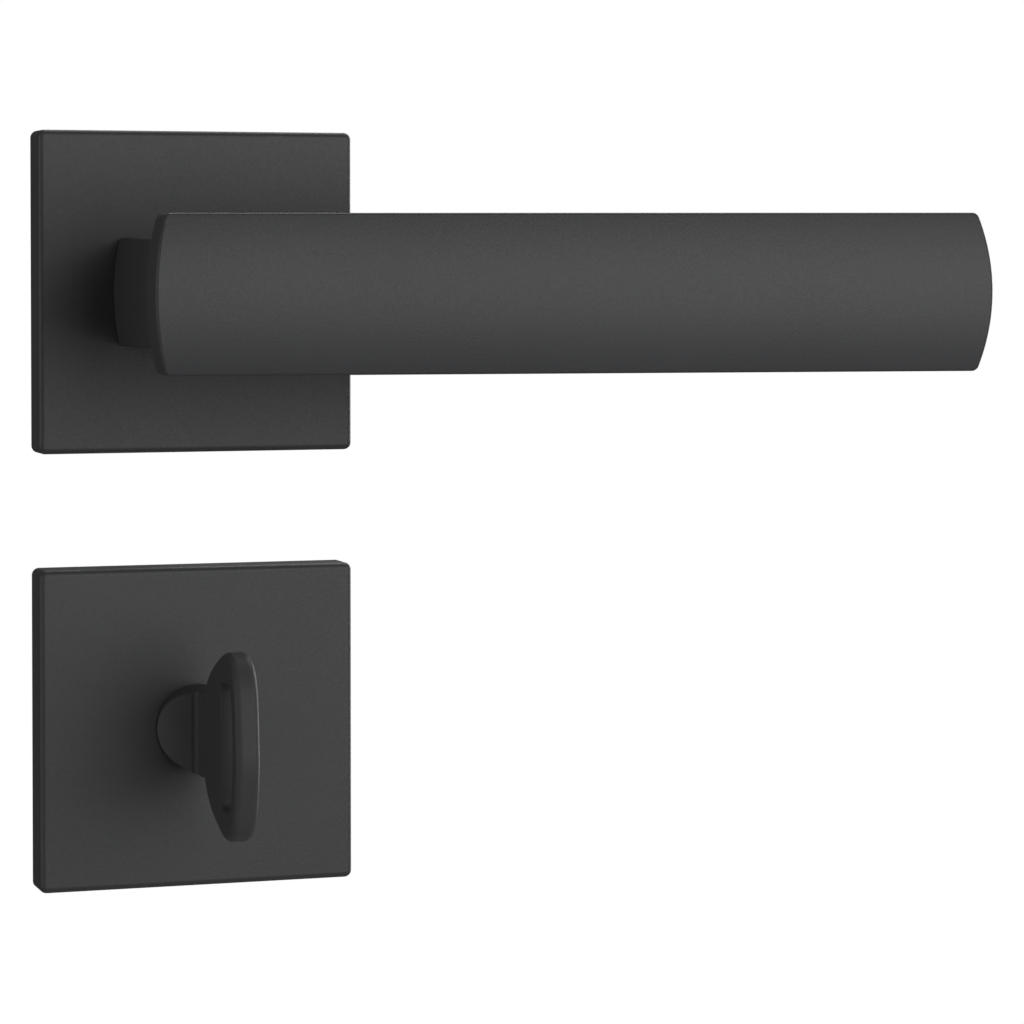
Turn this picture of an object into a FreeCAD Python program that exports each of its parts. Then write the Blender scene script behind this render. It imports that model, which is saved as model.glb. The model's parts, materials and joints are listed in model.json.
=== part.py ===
"""Inside half of a privacy door set: a bar lever on a square rose, and a ring thumb turn on a second rose.

Millimetres. The origin is on the door's face, on the lever's axis. +X points along the lever to its tip, +Z up
and +Y into the door, so the room is on the -Y side. "Depth" is the distance out from the door's face.
"""
import FreeCAD
import Part
import math
import os

# Overall sizes
rose_side = 53.0            # square roses
rose_depth = 6.5
centres = 72.0              # lever axis to thumb turn axis
lever_tip = 123.7           # lever axis to the tip of the bar
lever_heel = 16.9           # lever axis to the other end of the bar
bar_depth = 50.2            # door to the crown of the bar
bar_height = 25.0           # at the heel
bar_flare = 1.1             # how much taller the bar is at its tip
bar_thickness = 7.2         # at the crown
bar_crown = 2.0             # how far the long edges lie behind the crown
bar_end_bulge = 1.9
bar_corner = 1.2            # the four corners, seen from the room
bar_edge = 0.5

# Neck between bar and rose
neck_width = 28.2
neck_height = 17.8
neck_bulge = 1.0
neck_edge = 0.8
neck_gap = 0.4              # between neck and rose

# Rose covers
rose_wall = 1.1
rose_corner = 1.2
rose_edge = 1.0
cover_slip = 0.1            # cover over mounting plate

# Mounting plates and fixings
plate_thickness = 1.8
bolt_spacing = 38.0
bolt_diameter = 4.0
bolt_hole_clearance = 0.15
bolt_neck_diameter = 5.0    # plain shoulder under the head, which centres the plate
bolt_neck_reach = 0.3       # past the door's face
bolt_head_diameter = 7.4
bolt_head_depth = 2.1
bolt_reach = 28.0           # past the door's face
drive_width = 1.1           # cross recess
drive_length = 4.2
hub_wall = 1.2
running_clearance = 0.05
turning_gap = 0.3           # between faces that pass one another
thread_clearance = 0.02
seat_clearance = 0.05       # fixed pieces slid into each other

# Lever bearing and drive
spigot_diameter = 15.0
spigot_flat = 0.5           # each flat's depth
bush_wall = 1.5
spindle_side = 8.0
spindle_reach = 62.0        # past the door's face
spindle_seat_depth = 24.0   # its other end, out from the door's face
spigot_setback = 0.2        # spigot's end behind the door's face
circlip_thickness = 0.8
circlip_groove = 0.6        # groove's depth
circlip_proud = 1.3
washer_thickness = 0.5
driver_thickness = 0.8
ring_wall = 0.9             # guide ring in the lever rose's hole

# Return spring and stops
lever_travel = 50.0         # degrees
wire_diameter = 0.9
spring_pitch_gap = 0.02     # between turns
spring_end_gap = 0.2        # coil to driver disc
spring_hub_gap = 0.7
leg_length = 4.0
tab_angle = 115.0           # tab's place at rest, degrees before the +X axis
tab_width = 3.0
tab_thickness = 1.8
stop_radius = 1.0
stop_gap = 0.25

# Thumb turn
ring_depth = 40.5           # door to the front of the ring
ring_width = 22.7           # front to back
ring_height = 30.0
ring_thickness = 4.1
ring_edge = 1.2             # round the outside
window_rim = 2.4            # ring's front to the window, at mid height
window_width = 7.2          # front to back, at mid height
window_height = 20.2
window_front_sag = 1.6      # how far the front edge falls back to its ends
window_back_sag = 0.7
window_corner = 1.4
window_edge = 0.3
boss_diameter = 14.2
boss_rim = 0.4              # straight rim before the scooped flanks
boss_throat = 3.4           # between the scoops, inside the ring's thickness
boss_sink = 2.2             # how far the boss runs into the ring
groove_depth = 0.7
groove_width = 3.0
groove_place = 8.3          # boss's back to the groove
turn_spigot_diameter = 11.0
turn_hole_clearance = 0.4
turn_bush_wall = 1.4
turn_spindle_side = 6.0
turn_spindle_reach = 58.0
turn_spindle_seat_depth = 11.5
wave_sheet = 0.3
wave_rise = 0.4
pin_diameter = 1.2

# Grub screws
rose_screw_diameter = 3.0
rose_screw_length = 4.0
rose_screw_key = 1.5
screw_block_width = 8.0
screw_block_height = 4.2
set_screw_diameter = 5.0
set_screw_key = 2.5
screw_recess = 0.2

# Worked out from the sizes above
X = FreeCAD.Vector(1, 0, 0)
Y = FreeCAD.Vector(0, 1, 0)
Z = FreeCAD.Vector(0, 0, 1)
turn_z = -centres
inside_half = rose_side / 2 - rose_wall
plate_half = inside_half - cover_slip
inside_depth = rose_depth - rose_wall
neck_back = rose_depth + neck_gap
groove_front = spigot_setback + 0.3 + circlip_thickness
bush_back = groove_front + washer_thickness + running_clearance
driver_front = inside_depth - turning_gap
driver_back = driver_front - driver_thickness
hub_front = driver_back - running_clearance
turn_hub_front = inside_depth - turning_gap
spigot_radius = spigot_diameter / 2
turn_spigot_radius = turn_spigot_diameter / 2
bush_radius = spigot_radius + running_clearance + bush_wall
turn_bush_radius = turn_spigot_radius + running_clearance + turn_bush_wall
hub_radius = bush_radius + seat_clearance + hub_wall
coil_radius = hub_radius + spring_hub_gap + wire_diameter / 2
tab_radius = coil_radius + wire_diameter / 2 + turning_gap + tab_thickness / 2
driver_radius = tab_radius + tab_thickness / 2
bolt_x = bolt_spacing / 2
screw_depth = plate_thickness / 2 + rose_screw_diameter / 2 + 0.2
coil_room = driver_back - plate_thickness - thread_clearance - spring_end_gap - wire_diameter
spring_pitch = wire_diameter + spring_pitch_gap
spring_turns = coil_room / spring_pitch
leg_clock = -tab_angle + math.degrees((tab_width / 2 + stop_gap + wire_diameter / 2) / tab_radius)


def disc(radius, back, front, x=0.0, z=0.0):
    """A cylinder along Y between two depths."""
    return Part.makeCylinder(radius, front - back, FreeCAD.Vector(x, -front, z), Y)


def ring(outer, inner, back, front, x=0.0, z=0.0):
    return disc(outer, back, front, x, z).cut(disc(inner, back - 1, front + 1, x, z))


def block(half_x, half_z, back, front, x=0.0, z=0.0):
    """A box between two depths, centred on x and z."""
    corner = FreeCAD.Vector(x - half_x, -front, z - half_z)
    return Part.makeBox(2 * half_x, front - back, 2 * half_z, corner)


def around(radius, clock):
    """The x and z of a point at an angle that grows clockwise, as seen from the room, from the +X axis."""
    angle = math.radians(clock)
    return radius * math.cos(angle), -radius * math.sin(angle)


def edges_along(shape, direction):
    """The straight edges that run along a direction."""
    found = []
    for edge in shape.Edges:
        if edge.Curve.TypeId != "Part::GeomLine":
            continue
        if abs(abs(edge.tangentAt(edge.FirstParameter).dot(direction)) - 1) < 1e-6:
            found.append(edge)
    return found


def edges_at_depth(shape, depth):
    """The edges that lie wholly at one depth."""
    found = []
    for edge in shape.Edges:
        box = edge.BoundBox
        if abs(box.YMin + depth) < 1e-4 and abs(box.YMax + depth) < 1e-4:
            found.append(edge)
    return found


def hexagon(across_flats, base, direction, length):
    """A hexagonal prism for a key socket."""
    radius = across_flats / math.sqrt(3)
    points = []
    for corner in range(7):
        angle = math.radians(60 * corner)
        points.append(FreeCAD.Vector(radius * math.cos(angle), radius * math.sin(angle), 0))
    prism = Part.Face(Part.makePolygon(points)).extrude(Z * length)
    prism.Placement = FreeCAD.Placement(base, FreeCAD.Rotation(Z, direction))
    return prism


def grub_screw(diameter, key, base, length):
    """A headless screw that stands up from base along +Z, with its key socket at the bottom."""
    screw = Part.makeCylinder(diameter / 2, length, base, Z)
    screw = screw.makeChamfer(diameter / 12, [e for e in screw.Edges if e.Closed])
    return screw.cut(hexagon(key, base - Z * 0.01, Z, length / 2))


# Outlines of the bar and the neck, which bulge at their ends

def barrel_outline(left, right, left_half, right_half, bulge):
    """A face in the XZ plane: straight top and bottom, arcs bulging out at the left and right ends."""
    top_left = FreeCAD.Vector(left + bulge, 0, left_half)
    low_left = FreeCAD.Vector(left + bulge, 0, -left_half)
    top_right = FreeCAD.Vector(right - bulge, 0, right_half)
    low_right = FreeCAD.Vector(right - bulge, 0, -right_half)
    edges = [
        Part.LineSegment(top_left, top_right).toShape(),
        Part.Arc(top_right, FreeCAD.Vector(right, 0, 0), low_right).toShape(),
        Part.LineSegment(low_right, low_left).toShape(),
        Part.Arc(low_left, FreeCAD.Vector(left, 0, 0), top_left).toShape(),
    ]
    return Part.Face(Part.Wire(edges))


def make_bar():
    """The crowned grip, filleted all round."""
    heel_half = bar_height / 2
    tip_half = heel_half + bar_flare / 2
    outline = barrel_outline(-lever_heel, lever_tip, heel_half, tip_half, bar_end_bulge)
    slab = outline.extrude(Y * (bar_thickness + bar_crown))
    slab.translate(FreeCAD.Vector(0, -bar_depth - bar_crown, 0))
    slab = slab.makeFillet(bar_corner, edges_along(slab, Y))
    crown_radius = (tip_half ** 2 + bar_crown ** 2) / (2 * bar_crown)
    start = FreeCAD.Vector(-lever_heel - 10, -bar_depth + crown_radius, 0)
    crown = Part.makeCylinder(crown_radius, lever_heel + lever_tip + 20, start, X)
    bar = slab.common(crown)
    bar = bar.common(block(lever_tip + 50, bar_height, bar_depth - bar_thickness, bar_depth + 1))
    return bar.makeFillet(bar_edge, bar.Edges)


def make_neck():
    """The block between the rose and the bar."""
    half_height = neck_height / 2
    outline = barrel_outline(-neck_width / 2, neck_width / 2, half_height, half_height, neck_bulge)
    neck = outline.extrude(Y * (bar_depth - bar_thickness / 2 - neck_back))
    neck.translate(FreeCAD.Vector(0, -bar_depth + bar_thickness / 2, 0))
    neck = neck.makeFillet(neck_edge, edges_along(neck, Y))
    return neck


def make_lever():
    """Bar, neck and spigot, cast in one, with the spindle's square socket and the set screw's thread."""
    spigot = disc(spigot_radius, spigot_setback, neck_back + 1)
    flats = block(spigot_radius + 1, spigot_radius - spigot_flat, spigot_setback, driver_front + seat_clearance)
    turned = spigot.cut(disc(spigot_radius + 1, spigot_setback, driver_front + seat_clearance))
    spigot = turned.fuse(spigot.common(flats))
    body = make_bar().fuse([make_neck(), spigot]).removeSplitter()
    groove_back = groove_front - circlip_thickness - seat_clearance
    body = body.cut(ring(spigot_radius + 1, spigot_radius - circlip_groove, groove_back, groove_front))
    half_socket = spindle_side / 2 + seat_clearance
    body = body.cut(block(half_socket, half_socket, 0, spindle_seat_depth + seat_clearance))
    thread = set_screw_diameter / 2 + thread_clearance
    base = FreeCAD.Vector(0, -set_screw_depth(), -neck_height / 2 - 1)
    return body.cut(Part.makeCylinder(thread, neck_height / 2 + 1, base, Z))


def set_screw_depth():
    """Half way along the spindle's seat in the neck."""
    return (neck_back + spindle_seat_depth) / 2


def make_lever_set_screw():
    """Bears on the spindle from below, its socket just inside the neck's underside."""
    bottom = -neck_height / 2 + screw_recess
    base = FreeCAD.Vector(0, -set_screw_depth(), bottom)
    return grub_screw(set_screw_diameter, set_screw_key, base, -spindle_side / 2 - bottom)


def square_bar(side, seat_depth, reach, z):
    """A square spindle from inside its handle to its free end in the door."""
    bar = block(side / 2, side / 2, -reach, seat_depth, 0, z)
    return bar.makeChamfer(side / 12, edges_at_depth(bar, -reach))


def circlip(shaft_radius, z, notch_clock):
    """An open snap ring in the spigot's groove."""
    inner = shaft_radius - circlip_groove + thread_clearance
    outer = shaft_radius + circlip_proud
    back = groove_front - circlip_thickness
    clip = ring(outer, inner, back, groove_front, 0, z)
    notch_x, notch_z = around(inner, notch_clock)
    return clip.cut(block(1.6, inner * 0.8, back - 1, groove_front + 1, notch_x, z + notch_z))


def make_thrust_washer():
    outer = bush_radius - running_clearance
    return ring(outer, spigot_radius + running_clearance, groove_front, groove_front + washer_thickness)


def make_driver_disc():
    """The plate keyed to the spigot's flats, with a tab bent back to push the spring and meet the stops."""
    plate = disc(driver_radius, driver_back, driver_front)
    bore = disc(spigot_radius + seat_clearance, driver_back - 1, driver_front + 1)
    across = spigot_radius - spigot_flat + seat_clearance
    bore = bore.common(block(spigot_radius + 1, across, driver_back - 1, driver_front + 1))
    tab_back = plate_thickness + turning_gap
    tab = block(tab_thickness / 2, tab_width / 2, tab_back, driver_front, tab_radius)
    tab.rotate(FreeCAD.Vector(0, 0, 0), Y, -tab_angle)
    return plate.fuse(tab).cut(bore).removeSplitter()


def make_return_spring():
    """A torsion coil round the hub; one leg bears on the plate's post, the other on the driver's tab."""
    radius = wire_diameter / 2
    back = plate_thickness + thread_clearance + radius
    helix = Part.makeHelix(spring_pitch, coil_room, coil_radius)
    start = FreeCAD.Vector(coil_radius, 0, 0)
    profile = Part.Wire(Part.makeCircle(radius, start, Y))
    coil = Part.Wire(helix).makePipeShell([profile], True, True)
    # wound left-handed, so that the lever tightens it, and stood along Y with its front end at the driver's tab
    coil = coil.mirror(FreeCAD.Vector(0, 0, 0), Y)
    coil.rotate(FreeCAD.Vector(0, 0, 0), X, 90)
    coil.translate(Y * -back)
    coil.rotate(FreeCAD.Vector(0, 0, 0), Y, back_leg_clock())
    front = back + coil_room
    legs = []
    for clock, depth in ((leg_clock, front), (back_leg_clock(), back)):
        x, z = around(1, clock)
        out = FreeCAD.Vector(x, 0, z)
        foot = out * coil_radius - Y * depth
        legs.append(Part.makeCylinder(radius, leg_length, foot, out))
        legs.append(Part.makeSphere(radius, foot))
    return coil.fuse(legs)


def back_leg_clock():
    """Where the coil's other end comes out."""
    return leg_clock - 360 * spring_turns


def rose_cover(hole_radius, z):
    """The square shell, open at the back, with the grub screw's hole in its underside."""
    shell = block(rose_side / 2, rose_side / 2, 0, rose_depth, 0, z)
    shell = shell.makeFillet(rose_corner, edges_along(shell, Y))
    shell = shell.makeFillet(rose_edge, edges_at_depth(shell, rose_depth))
    shell = shell.cut(block(inside_half, inside_half, -1, inside_depth, 0, z))
    shell = shell.cut(disc(hole_radius, inside_depth - 1, rose_depth + 1, 0, z))
    base = FreeCAD.Vector(0, -screw_depth, z - rose_side / 2 - 1)
    return shell.cut(Part.makeCylinder(rose_screw_diameter / 2 + 0.1, rose_wall + 2, base, Z))


def mounting_plate(bore_radius, hub_outer, hub_height, z):
    """The square plate behind a rose: a hub for the bush, two bolt holes and a block for the rose's screw."""
    plate = block(plate_half, plate_half, 0, plate_thickness, 0, z)
    block_z = z - plate_half + screw_block_height / 2
    block_front = screw_depth + rose_screw_diameter / 2 + 0.5
    foot = block(screw_block_width / 2, screw_block_height / 2, 0, block_front, 0, block_z)
    plate = plate.fuse([disc(hub_outer, 0, hub_height, 0, z), foot]).removeSplitter()
    plate = plate.cut(disc(bore_radius, -1, hub_height + 1, 0, z))
    for side in (-1, 1):
        hole = disc(bolt_neck_diameter / 2 + bolt_hole_clearance, -1, plate_thickness + 1, side * bolt_x, z)
        plate = plate.cut(hole)
    thread = rose_screw_diameter / 2 + thread_clearance
    base = FreeCAD.Vector(0, -screw_depth, z - plate_half - 1)
    return plate.cut(Part.makeCylinder(thread, screw_block_height + 1, base, Z))


def make_lever_plate():
    """The lever's mounting plate also carries the two stops and the spring's post."""
    plate = mounting_plate(bush_radius + seat_clearance, hub_radius, hub_front, 0)
    height = driver_back - turning_gap
    reach = tab_width / 2 + stop_gap + stop_radius
    step = math.degrees(reach / tab_radius)
    posts = [-tab_angle - step, -tab_angle + lever_travel + step]
    wire_step = math.degrees((wire_diameter / 2 + stop_gap + stop_radius) / tab_radius)
    posts.append(back_leg_clock() + wire_step)
    for clock in posts:
        x, z = around(tab_radius, clock)
        plate = plate.fuse(disc(stop_radius, 0, height, x, z))
    return plate.removeSplitter()


def make_guide_ring():
    """The nylon ring that fills the lever rose's hole and steadies the spigot."""
    inner = spigot_radius + running_clearance
    return ring(inner + ring_wall, inner, inside_depth, rose_depth + neck_gap / 4)


def fixing_bolts(z):
    """Two pan head bolts that go through the door to the other half."""
    bolts = []
    for side in (-1, 1):
        head = disc(bolt_head_diameter / 2, plate_thickness, plate_thickness + bolt_head_depth, side * bolt_x, z)
        head = head.makeFillet(bolt_head_depth / 3, edges_at_depth(head, plate_thickness + bolt_head_depth))
        shank = disc(bolt_diameter / 2, -bolt_reach, plate_thickness, side * bolt_x, z)
        shank = shank.makeChamfer(bolt_diameter / 10, edges_at_depth(shank, -bolt_reach))
        neck = disc(bolt_neck_diameter / 2, -bolt_neck_reach, plate_thickness + 0.1, side * bolt_x, z)
        bolt = head.fuse([shank, neck])
        top = plate_thickness + bolt_head_depth + 1
        for half_x, half_z in ((drive_length / 2, drive_width / 2), (drive_width / 2, drive_length / 2)):
            bolt = bolt.cut(block(half_x, half_z, plate_thickness + bolt_head_depth / 2, top, side * bolt_x, z))
        bolts.append(bolt.removeSplitter())
    return Part.makeCompound(bolts)


def rose_screw(z):
    base = FreeCAD.Vector(0, -screw_depth, z - rose_side / 2 + screw_recess)
    return grub_screw(rose_screw_diameter, rose_screw_key, base, rose_screw_length)


# Thumb turn

def ring_point(width_share, height_share):
    """A point on the ring's side, given shares of its width, from the front, and of half its height."""
    return FreeCAD.Vector(0, -ring_depth + ring_width * width_share, turn_z + ring_height / 2 * height_share)


def ring_outline():
    """The ring seen from the side: a full front that draws in towards the boss."""
    upper = [(0.04, 0.55), (0.13, 0.86), (0.31, 1.0), (0.53, 0.93), (0.74, 0.79), (0.89, 0.62), (0.975, 0.42)]
    points = [ring_point(0, 0)]
    points += [ring_point(across, up) for across, up in upper]
    points += [ring_point(1, 0)]
    points += [ring_point(across, -up) for across, up in reversed(upper)]
    curve = Part.BSplineCurve()
    curve.interpolate(points, PeriodicFlag=True)
    return Part.Face(Part.Wire(curve.toShape()))


def make_window():
    """The ring's opening: both long edges bow forward, and the corners are round."""
    front = ring_depth - window_rim
    back = front - window_width
    half = window_height / 2

    def corner(depth, z):
        return FreeCAD.Vector(-ring_thickness, -depth, turn_z + z)

    front_high = corner(front - window_front_sag, half)
    front_low = corner(front - window_front_sag, -half)
    back_high = corner(back - window_back_sag, half)
    back_low = corner(back - window_back_sag, -half)
    edges = [
        Part.Arc(front_low, corner(front, 0), front_high).toShape(),
        Part.LineSegment(front_high, back_high).toShape(),
        Part.Arc(back_high, corner(back, 0), back_low).toShape(),
        Part.LineSegment(back_low, front_low).toShape(),
    ]
    cutter = Part.Face(Part.Wire(edges)).extrude(X * 2 * ring_thickness)
    return cutter.makeFillet(window_corner, edges_along(cutter, X))


def make_blade():
    """The egg-shaped ring with its window, rounded outside and just broken round the window."""
    outline = ring_outline()
    outline.translate(X * -ring_thickness / 2)
    blade = outline.extrude(X * ring_thickness)
    blade = blade.makeFillet(ring_edge, edges_on_sides(blade))
    blade = blade.cut(make_window())
    return blade.makeFillet(window_edge, edges_on_sides(blade, window_height / 2 + 0.01))


def edges_on_sides(blade, half_height=math.inf):
    """The edges on the ring's two flat sides that stay within a height of its middle."""
    found = []
    for edge in blade.Edges:
        box = edge.BoundBox
        on_side = abs(abs(edge.CenterOfMass.x) - ring_thickness / 2) < 1e-3
        if on_side and max(box.ZMax - turn_z, turn_z - box.ZMin) <= half_height:
            found.append(edge)
    return found


def make_boss():
    """A round boss whose flanks are scooped down to the ring's thickness, with a groove down each flank."""
    front = ring_depth - ring_width + boss_sink
    boss = disc(boss_diameter / 2, neck_back, front, 0, turn_z)
    run = boss_diameter / 2 - boss_throat / 2
    rise = front - neck_back - boss_rim
    scoop_radius = (run ** 2 + rise ** 2) / (2 * run)
    for side in (-1, 1):
        x = side * (boss_throat / 2 + scoop_radius)
        base = FreeCAD.Vector(x, -front, turn_z - boss_diameter)
        boss = boss.cut(Part.makeCylinder(scoop_radius, 2 * boss_diameter, base, Z))
        depth = neck_back + groove_place
        wall = boss_throat / 2 + scoop_radius - math.sqrt(scoop_radius ** 2 - (front - depth) ** 2)
        x = side * (wall + groove_width / 2 - groove_depth)
        base = FreeCAD.Vector(x, -depth, turn_z - boss_diameter)
        boss = boss.cut(Part.makeCylinder(groove_width / 2, 2 * boss_diameter, base, Z))
    return boss


def make_thumb_turn():
    """Ring, boss and spigot, cast in one."""
    spigot = disc(turn_spigot_radius, spigot_setback, neck_back + 0.5, 0, turn_z)
    body = make_boss().fuse(spigot).fuse(make_blade())
    groove_back = groove_front - circlip_thickness - seat_clearance
    inner = turn_spigot_radius - circlip_groove
    body = body.cut(ring(turn_spigot_radius + 1, inner, groove_back, groove_front, 0, turn_z))
    half_socket = turn_spindle_side / 2 + seat_clearance
    body = body.cut(block(half_socket, half_socket, 0, turn_spindle_seat_depth + seat_clearance, 0, turn_z))
    return body.cut(cross_pin(turn_spigot_radius + 1, thread_clearance))


def cross_pin(half_length, clearance):
    """A cylinder along X through the turn's spigot and spindle."""
    depth = (turn_hub_front + neck_back) / 2
    base = FreeCAD.Vector(-half_length, -depth, turn_z)
    return Part.makeCylinder(pin_diameter / 2 + clearance, 2 * half_length, base, X)


def make_turn_spindle():
    spindle = square_bar(turn_spindle_side, turn_spindle_seat_depth, turn_spindle_reach, turn_z)
    return spindle.cut(cross_pin(turn_spindle_side, thread_clearance))


def make_wave_washer():
    """A bowed washer between the circlip and the bush, which gives the turn its drag."""
    outer = turn_bush_radius - running_clearance
    blank = ring(outer, turn_spigot_radius + running_clearance, groove_front, groove_front + 3, 0, turn_z)
    bow = (outer ** 2 + wave_rise ** 2) / (2 * wave_rise)
    top = groove_front + wave_sheet + wave_rise
    start = FreeCAD.Vector(-outer - 1, -top + bow, turn_z)
    sheet = Part.makeCylinder(bow, 2 * outer + 2, start, X)
    sheet = sheet.cut(Part.makeCylinder(bow - wave_sheet, 2 * outer + 2, start, X))
    return blank.common(sheet)


def build():
    lever_hole = spigot_radius + running_clearance + ring_wall + seat_clearance
    turn_hole = turn_spigot_radius + turn_hole_clearance
    turn_bush_back = groove_front + wave_sheet + wave_rise + running_clearance
    turn_bush_inner = turn_spigot_radius + running_clearance
    turn_bore = turn_bush_radius + seat_clearance
    return {
        "lever": make_lever(),
        "lever_set_screw": make_lever_set_screw(),
        "lever_spindle": square_bar(spindle_side, spindle_seat_depth, spindle_reach, 0),
        "lever_driver_disc": make_driver_disc(),
        "lever_thrust_washer": make_thrust_washer(),
        "lever_circlip": circlip(spigot_radius, 0, 90),
        "lever_rose_cover": rose_cover(lever_hole, 0),
        "lever_guide_ring": make_guide_ring(),
        "lever_mounting_plate": make_lever_plate(),
        "lever_bush": ring(bush_radius, spigot_radius + running_clearance, bush_back, hub_front),
        "lever_return_spring": make_return_spring(),
        "lever_fixing_bolts": fixing_bolts(0),
        "lever_rose_screw": rose_screw(0),
        "thumb_turn": make_thumb_turn(),
        "turn_spindle": make_turn_spindle(),
        "turn_cross_pin": cross_pin(turn_spigot_radius - 0.1, 0),
        "turn_wave_washer": make_wave_washer(),
        "turn_circlip": circlip(turn_spigot_radius, turn_z, 90),
        "turn_rose_cover": rose_cover(turn_hole, turn_z),
        "turn_mounting_plate": mounting_plate(turn_bore, turn_bore + hub_wall, turn_hub_front, turn_z),
        "turn_bush": ring(turn_bush_radius, turn_bush_inner, turn_bush_back, turn_hub_front, 0, turn_z),
        "turn_fixing_bolts": fixing_bolts(turn_z),
        "turn_rose_screw": rose_screw(turn_z),
    }


os.makedirs("parts", exist_ok=True)
for node, shape in build().items():
    print(node, "valid" if shape.isValid() else "NOT VALID", len(shape.Solids), round(shape.Volume, 2))
    shape.exportStep("parts/" + node + ".step")
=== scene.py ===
import bmesh
import bpy
import json
import math
from mathutils import Matrix, Vector


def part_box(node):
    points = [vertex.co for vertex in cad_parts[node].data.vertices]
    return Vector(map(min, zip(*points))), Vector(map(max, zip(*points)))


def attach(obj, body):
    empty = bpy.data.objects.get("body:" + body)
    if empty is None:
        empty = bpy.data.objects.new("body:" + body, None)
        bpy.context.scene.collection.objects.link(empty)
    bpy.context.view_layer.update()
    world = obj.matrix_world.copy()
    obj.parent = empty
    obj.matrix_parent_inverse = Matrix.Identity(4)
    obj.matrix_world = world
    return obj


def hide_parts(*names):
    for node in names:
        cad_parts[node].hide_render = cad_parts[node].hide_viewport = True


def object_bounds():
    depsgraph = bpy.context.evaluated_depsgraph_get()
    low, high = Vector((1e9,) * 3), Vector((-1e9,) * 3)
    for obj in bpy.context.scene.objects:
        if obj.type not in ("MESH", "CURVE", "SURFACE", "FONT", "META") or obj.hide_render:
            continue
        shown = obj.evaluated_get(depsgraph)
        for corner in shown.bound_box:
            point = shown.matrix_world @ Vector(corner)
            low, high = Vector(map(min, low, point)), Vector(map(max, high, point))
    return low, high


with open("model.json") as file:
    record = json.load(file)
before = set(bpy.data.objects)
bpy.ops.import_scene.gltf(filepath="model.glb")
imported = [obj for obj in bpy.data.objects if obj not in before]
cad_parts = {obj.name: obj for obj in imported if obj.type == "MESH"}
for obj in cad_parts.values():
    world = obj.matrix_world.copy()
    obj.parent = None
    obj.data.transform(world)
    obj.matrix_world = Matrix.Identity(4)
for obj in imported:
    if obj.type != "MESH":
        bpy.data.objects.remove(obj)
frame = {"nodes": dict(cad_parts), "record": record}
cad_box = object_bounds()


# ---- materials ----

def new_material(name):
    """A material with its node tree, the shader, and object coordinates ready to use."""
    material = bpy.data.materials.new(name)
    material.use_nodes = True
    tree = material.node_tree
    shader = tree.nodes["Principled BSDF"]
    place = tree.nodes.new("ShaderNodeTexCoord").outputs["Object"]
    return material, tree, shader, place


def noise(tree, place, scale, detail=2.0, rough=0.5):
    node = tree.nodes.new("ShaderNodeTexNoise")
    node.inputs["Scale"].default_value = scale
    node.inputs["Detail"].default_value = detail
    node.inputs["Roughness"].default_value = rough
    tree.links.new(place, node.inputs["Vector"])
    return node.outputs["Fac"]


def stretched(tree, place, x, y, z):
    """The coordinates scaled unevenly, for drawn and brushed marks."""
    node = tree.nodes.new("ShaderNodeMapping")
    node.inputs["Scale"].default_value = (x, y, z)
    tree.links.new(place, node.inputs["Vector"])
    return node.outputs["Vector"]


def between(tree, value, low, high):
    """value, from 0 to 1, spread between two numbers."""
    node = tree.nodes.new("ShaderNodeMapRange")
    node.inputs["To Min"].default_value = low
    node.inputs["To Max"].default_value = high
    tree.links.new(value, node.inputs["Value"])
    return node.outputs["Result"]


def mix_colour(tree, value, first, second):
    node = tree.nodes.new("ShaderNodeMix")
    node.data_type = "RGBA"
    node.inputs["A"].default_value = (*first, 1)
    node.inputs["B"].default_value = (*second, 1)
    tree.links.new(value, node.inputs["Factor"])
    return node.outputs["Result"]


def bump(tree, shader, height, strength, distance):
    node = tree.nodes.new("ShaderNodeBump")
    node.inputs["Strength"].default_value = strength
    node.inputs["Distance"].default_value = distance
    tree.links.new(height, node.inputs["Height"])
    tree.links.new(node.outputs["Normal"], shader.inputs["Normal"])


def coat(name, dark, pale, rough_low, rough_high, grain, depth, gloss):
    """Black powder coat or paint: a fine even grain, with a faint drift in tone and gloss."""
    material, tree, shader, place = new_material(name)
    tone = noise(tree, place, 35, 3)
    tree.links.new(mix_colour(tree, tone, dark, pale), shader.inputs["Base Color"])
    speck = noise(tree, place, grain, 3, 0.6)
    tree.links.new(between(tree, speck, rough_low, rough_high), shader.inputs["Roughness"])
    bump(tree, shader, speck, 0.4, depth)
    shader.inputs["Specular IOR Level"].default_value = gloss
    return material


def metal(name, dark, pale, rough_low, rough_high, marks, depth):
    """Bare or plated metal, whose marks run as far as the stretched coordinates say."""
    material, tree, shader, place = new_material(name)
    lines = noise(tree, stretched(tree, place, *marks), 1.0, 4, 0.6)
    tree.links.new(mix_colour(tree, lines, dark, pale), shader.inputs["Base Color"])
    tree.links.new(between(tree, lines, rough_low, rough_high), shader.inputs["Roughness"])
    bump(tree, shader, lines, 0.3, depth)
    shader.inputs["Metallic"].default_value = 1.0
    return material


def nylon(name, dark, pale):
    """Moulded nylon, a little cloudy."""
    material, tree, shader, place = new_material(name)
    cloud = noise(tree, place, 220, 2)
    tree.links.new(mix_colour(tree, cloud, dark, pale), shader.inputs["Base Color"])
    tree.links.new(between(tree, cloud, 0.38, 0.55), shader.inputs["Roughness"])
    bump(tree, shader, noise(tree, place, 4000, 2), 0.2, 0.00002)
    return material


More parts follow.
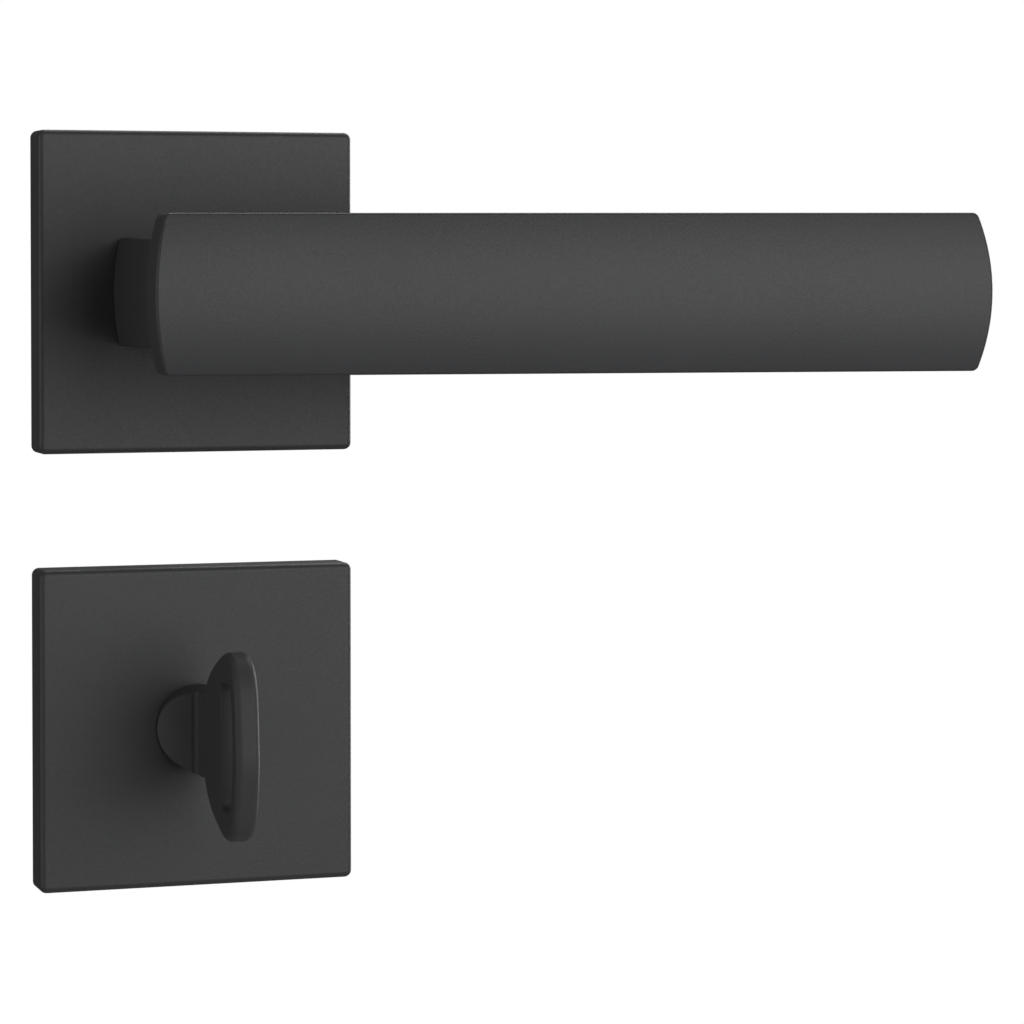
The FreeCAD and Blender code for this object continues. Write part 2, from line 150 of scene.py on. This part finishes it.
coat_black = coat("coat_black", (0.034, 0.035, 0.037), (0.046, 0.047, 0.050), 0.42, 0.58,
                  2200, 0.00005, 0.45)
satin_black = coat("satin_black", (0.054, 0.054, 0.055), (0.064, 0.064, 0.065), 0.38, 0.46,
                   3200, 0.00001, 0.12)
zinc_plate = metal("zinc_plate", (0.62, 0.63, 0.66), (0.78, 0.79, 0.81), 0.22, 0.36, (1800, 60, 1800), 0.00001)
spring_steel = metal("spring_steel", (0.15, 0.15, 0.16), (0.26, 0.26, 0.27), 0.28, 0.42, (900, 900, 900), 0.00001)
cast_zinc = metal("cast_zinc", (0.46, 0.47, 0.48), (0.60, 0.61, 0.63), 0.46, 0.62, (1500, 1500, 1500), 0.00004)
white_nylon = nylon("white_nylon", (0.66, 0.64, 0.58), (0.76, 0.74, 0.69))
black_nylon = nylon("black_nylon", (0.020, 0.020, 0.021), (0.028, 0.028, 0.029))

slot_material = {
    "black_coat": coat_black,
    "black_satin": satin_black,
    "plated_steel": zinc_plate,
    "spring_steel": spring_steel,
    "cast_zinc": cast_zinc,
    "nylon": white_nylon,
    "black_nylon": black_nylon,
}

for part in frame["record"]["subparts"]:
    node = frame["nodes"][part["node"]]
    node.data.materials.clear()
    node.data.materials.append(slot_material[part["material_slot"]])


# ---- threads of the fixing bolts ----

millimetre = 0.001
thread_start = 3.6 * millimetre     # past the door's face
thread_end = 27.4 * millimetre
thread_pitch = 0.7 * millimetre
crest_radius = 2.0 * millimetre
root_radius = 1.58 * millimetre
steps_per_turn = 18


def cut_back(shape, depth, keep_room_side):
    """Cuts the mesh square across the bolts' axis, and closes the cut."""
    everything = shape.verts[:] + shape.edges[:] + shape.faces[:]
    bmesh.ops.bisect_plane(shape, geom=everything, dist=1e-7, plane_co=(0, depth, 0), plane_no=(0, 1, 0),
                           clear_outer=keep_room_side, clear_inner=not keep_room_side)
    open_edges = [edge for edge in shape.edges if edge.is_boundary]
    bmesh.ops.holes_fill(shape, edges=open_edges, sides=0)


def merged(shape):
    bmesh.ops.remove_doubles(shape, verts=shape.verts[:], dist=2e-6)
    bmesh.ops.recalc_face_normals(shape, faces=shape.faces[:])


def outlined(x, z, outline):
    """A chain of edges through points given as a distance from the bolt's axis and a depth."""
    shape = bmesh.new()
    points = [shape.verts.new((x + radius, depth, z)) for radius, depth in outline]
    for first, second in zip(points, points[1:]):
        shape.edges.new((first, second))
    return shape


def swept_thread(x, z):
    """One pitch of the thread's outline, wound up the bolt, with both ends cut square."""
    start = thread_start - thread_pitch
    pitch_shares = [(root_radius, 0), (root_radius, 0.12), (crest_radius, 0.46), (crest_radius, 0.64),
                    (root_radius, 1)]
    shape = outlined(x, z, [(radius, start + share * thread_pitch) for radius, share in pitch_shares])
    turns = math.ceil((thread_end - start) / thread_pitch) + 1
    bmesh.ops.spin(shape, geom=shape.verts[:] + shape.edges[:], cent=(x, 0, z), axis=(0, 1, 0),
                   dvec=(0, thread_pitch / steps_per_turn, 0), angle=math.tau * turns,
                   steps=turns * steps_per_turn)
    merged(shape)
    cut_back(shape, thread_start, False)
    cut_back(shape, thread_end, True)
    merged(shape)
    return shape


def bolt_point(x, z):
    """The turned-down lead at the bolt's end."""
    start = thread_end - 0.1 * millimetre
    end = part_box("lever_fixing_bolts")[1].y
    lead = 0.25 * millimetre
    shape = outlined(x, z, [(0, start), (root_radius, start), (root_radius, end - lead),
                            (root_radius - lead, end), (0, end)])
    bmesh.ops.spin(shape, geom=shape.verts[:] + shape.edges[:], cent=(x, 0, z), axis=(0, 1, 0),
                   angle=math.tau, steps=steps_per_turn, use_merge=True)
    merged(shape)
    return shape


def add_to(whole, extra):
    """Adds one bmesh to another and frees it."""
    carrier = bpy.data.meshes.new("carrier")
    extra.to_mesh(carrier)
    extra.free()
    whole.from_mesh(carrier)
    bpy.data.meshes.remove(carrier)


def threaded_bolts(name, node):
    """The bolts' heads and shoulders as they are in the CAD, and their shanks with a cut thread."""
    shape = bmesh.new()
    shape.from_mesh(frame["nodes"][node].data)
    merged(shape)
    cut_back(shape, thread_start + 0.2 * millimetre, True)
    low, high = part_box(node)
    head_radius = (high.z - low.z) / 2
    middle = (high.z + low.z) / 2
    for x in (low.x + head_radius, high.x - head_radius):
        add_to(shape, swept_thread(x, middle))
        add_to(shape, bolt_point(x, middle))
    mesh = bpy.data.meshes.new(name)
    shape.to_mesh(mesh)
    shape.free()
    mesh.shade_smooth()
    mesh.set_sharp_from_angle(angle=math.radians(32))
    mesh.materials.clear()
    mesh.materials.append(zinc_plate)
    bolts = bpy.data.objects.new(name, mesh)
    bpy.context.scene.collection.objects.link(bolts)
    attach(bolts, "root")
    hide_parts(node)


threaded_bolts("lever_bolts_threaded", "lever_fixing_bolts")
threaded_bolts("turn_bolts_threaded", "turn_fixing_bolts")


# ---- stage, light and camera ----

def white_stage(name):
    """White to the eye and a soft grey to the light, so that the pale surroundings don't wash out the black."""
    material = bpy.data.materials.new(name)
    material.use_nodes = True
    tree = material.node_tree
    tree.nodes.remove(tree.nodes["Principled BSDF"])
    seen = tree.nodes.new("ShaderNodeEmission")
    seen.inputs["Color"].default_value = (1, 1, 1, 1)
    lit = tree.nodes.new("ShaderNodeBsdfDiffuse")
    lit.inputs["Color"].default_value = (0.5, 0.5, 0.5, 1)
    rays = tree.nodes.new("ShaderNodeLightPath")
    mix = tree.nodes.new("ShaderNodeMixShader")
    tree.links.new(rays.outputs["Is Camera Ray"], mix.inputs["Fac"])
    tree.links.new(lit.outputs["BSDF"], mix.inputs[1])
    tree.links.new(seen.outputs["Emission"], mix.inputs[2])
    tree.links.new(mix.outputs["Shader"], tree.nodes["Material Output"].inputs["Surface"])
    return material


def make_floor():
    shape = bmesh.new()
    bmesh.ops.create_grid(shape, x_segments=1, y_segments=1, size=6)
    mesh = bpy.data.meshes.new("floor")
    shape.to_mesh(mesh)
    shape.free()
    floor = bpy.data.objects.new("floor", mesh)
    mesh.transform(Matrix.Translation((0, 0, cad_box[0].z - 1.0)))
    mesh.materials.append(white_stage("pale_floor"))
    bpy.context.scene.collection.objects.link(floor)


def make_world():
    world = bpy.data.worlds.new("studio")
    bpy.context.scene.world = world
    world.use_nodes = True
    tree = world.node_tree
    back = tree.nodes["Background"]
    back.inputs["Color"].default_value = (1, 1, 1, 1)
    back.inputs["Strength"].default_value = 0.10
    white = tree.nodes.new("ShaderNodeBackground")
    white.inputs["Color"].default_value = (1, 1, 1, 1)
    rays = tree.nodes.new("ShaderNodeLightPath")
    mix = tree.nodes.new("ShaderNodeMixShader")
    tree.links.new(rays.outputs["Is Camera Ray"], mix.inputs["Fac"])
    tree.links.new(back.outputs["Background"], mix.inputs[1])
    tree.links.new(white.outputs["Background"], mix.inputs[2])
    tree.links.new(mix.outputs["Shader"], tree.nodes["World Output"].inputs["Surface"])


def soft_light(name, place, aim, width, height, power):
    light = bpy.data.lights.new(name, "AREA")
    light.shape = "RECTANGLE"
    light.size = width
    light.size_y = height
    light.energy = power
    lamp = bpy.data.objects.new(name, light)
    lamp.location = place
    lamp.rotation_euler = (Vector(aim) - Vector(place)).to_track_quat("-Z", "Y").to_euler()
    bpy.context.scene.collection.objects.link(lamp)


def make_camera():
    """Level with the lever and to its left, turned a little to the right and tipped slightly down."""
    yaw = 0.3198
    pitch = math.radians(1.5)
    data = bpy.data.cameras.new("camera")
    data.sensor_width = 36
    data.lens = 127.65
    data.shift_y = -0.1573
    data.clip_start = 0.01
    camera = bpy.data.objects.new("camera", data)
    camera.location = (-0.13916, -0.59203, 0.00593)
    camera.rotation_euler = (math.pi / 2 - pitch, 0, -yaw)
    bpy.context.scene.collection.objects.link(camera)
    bpy.context.scene.camera = camera


make_floor()
make_world()
soft_light("key", (0.5, -1.0, 0.10), (0.03, 0, -0.03), 1.1, 0.8, 7.8)
soft_light("side_fill", (-1.0, -0.25, 0.05), (0.0, 0, -0.05), 0.4, 0.8, 2.3)
soft_light("back_high", (0.5, 0.7, 1.2), (0.03, 0.02, -0.03), 1.0, 0.8, 9)
soft_light("back_right", (1.2, 0.6, 0.1), (0.03, 0.02, -0.03), 0.8, 0.9, 8)
make_camera()
bpy.context.scene.view_settings.view_transform = "Standard"
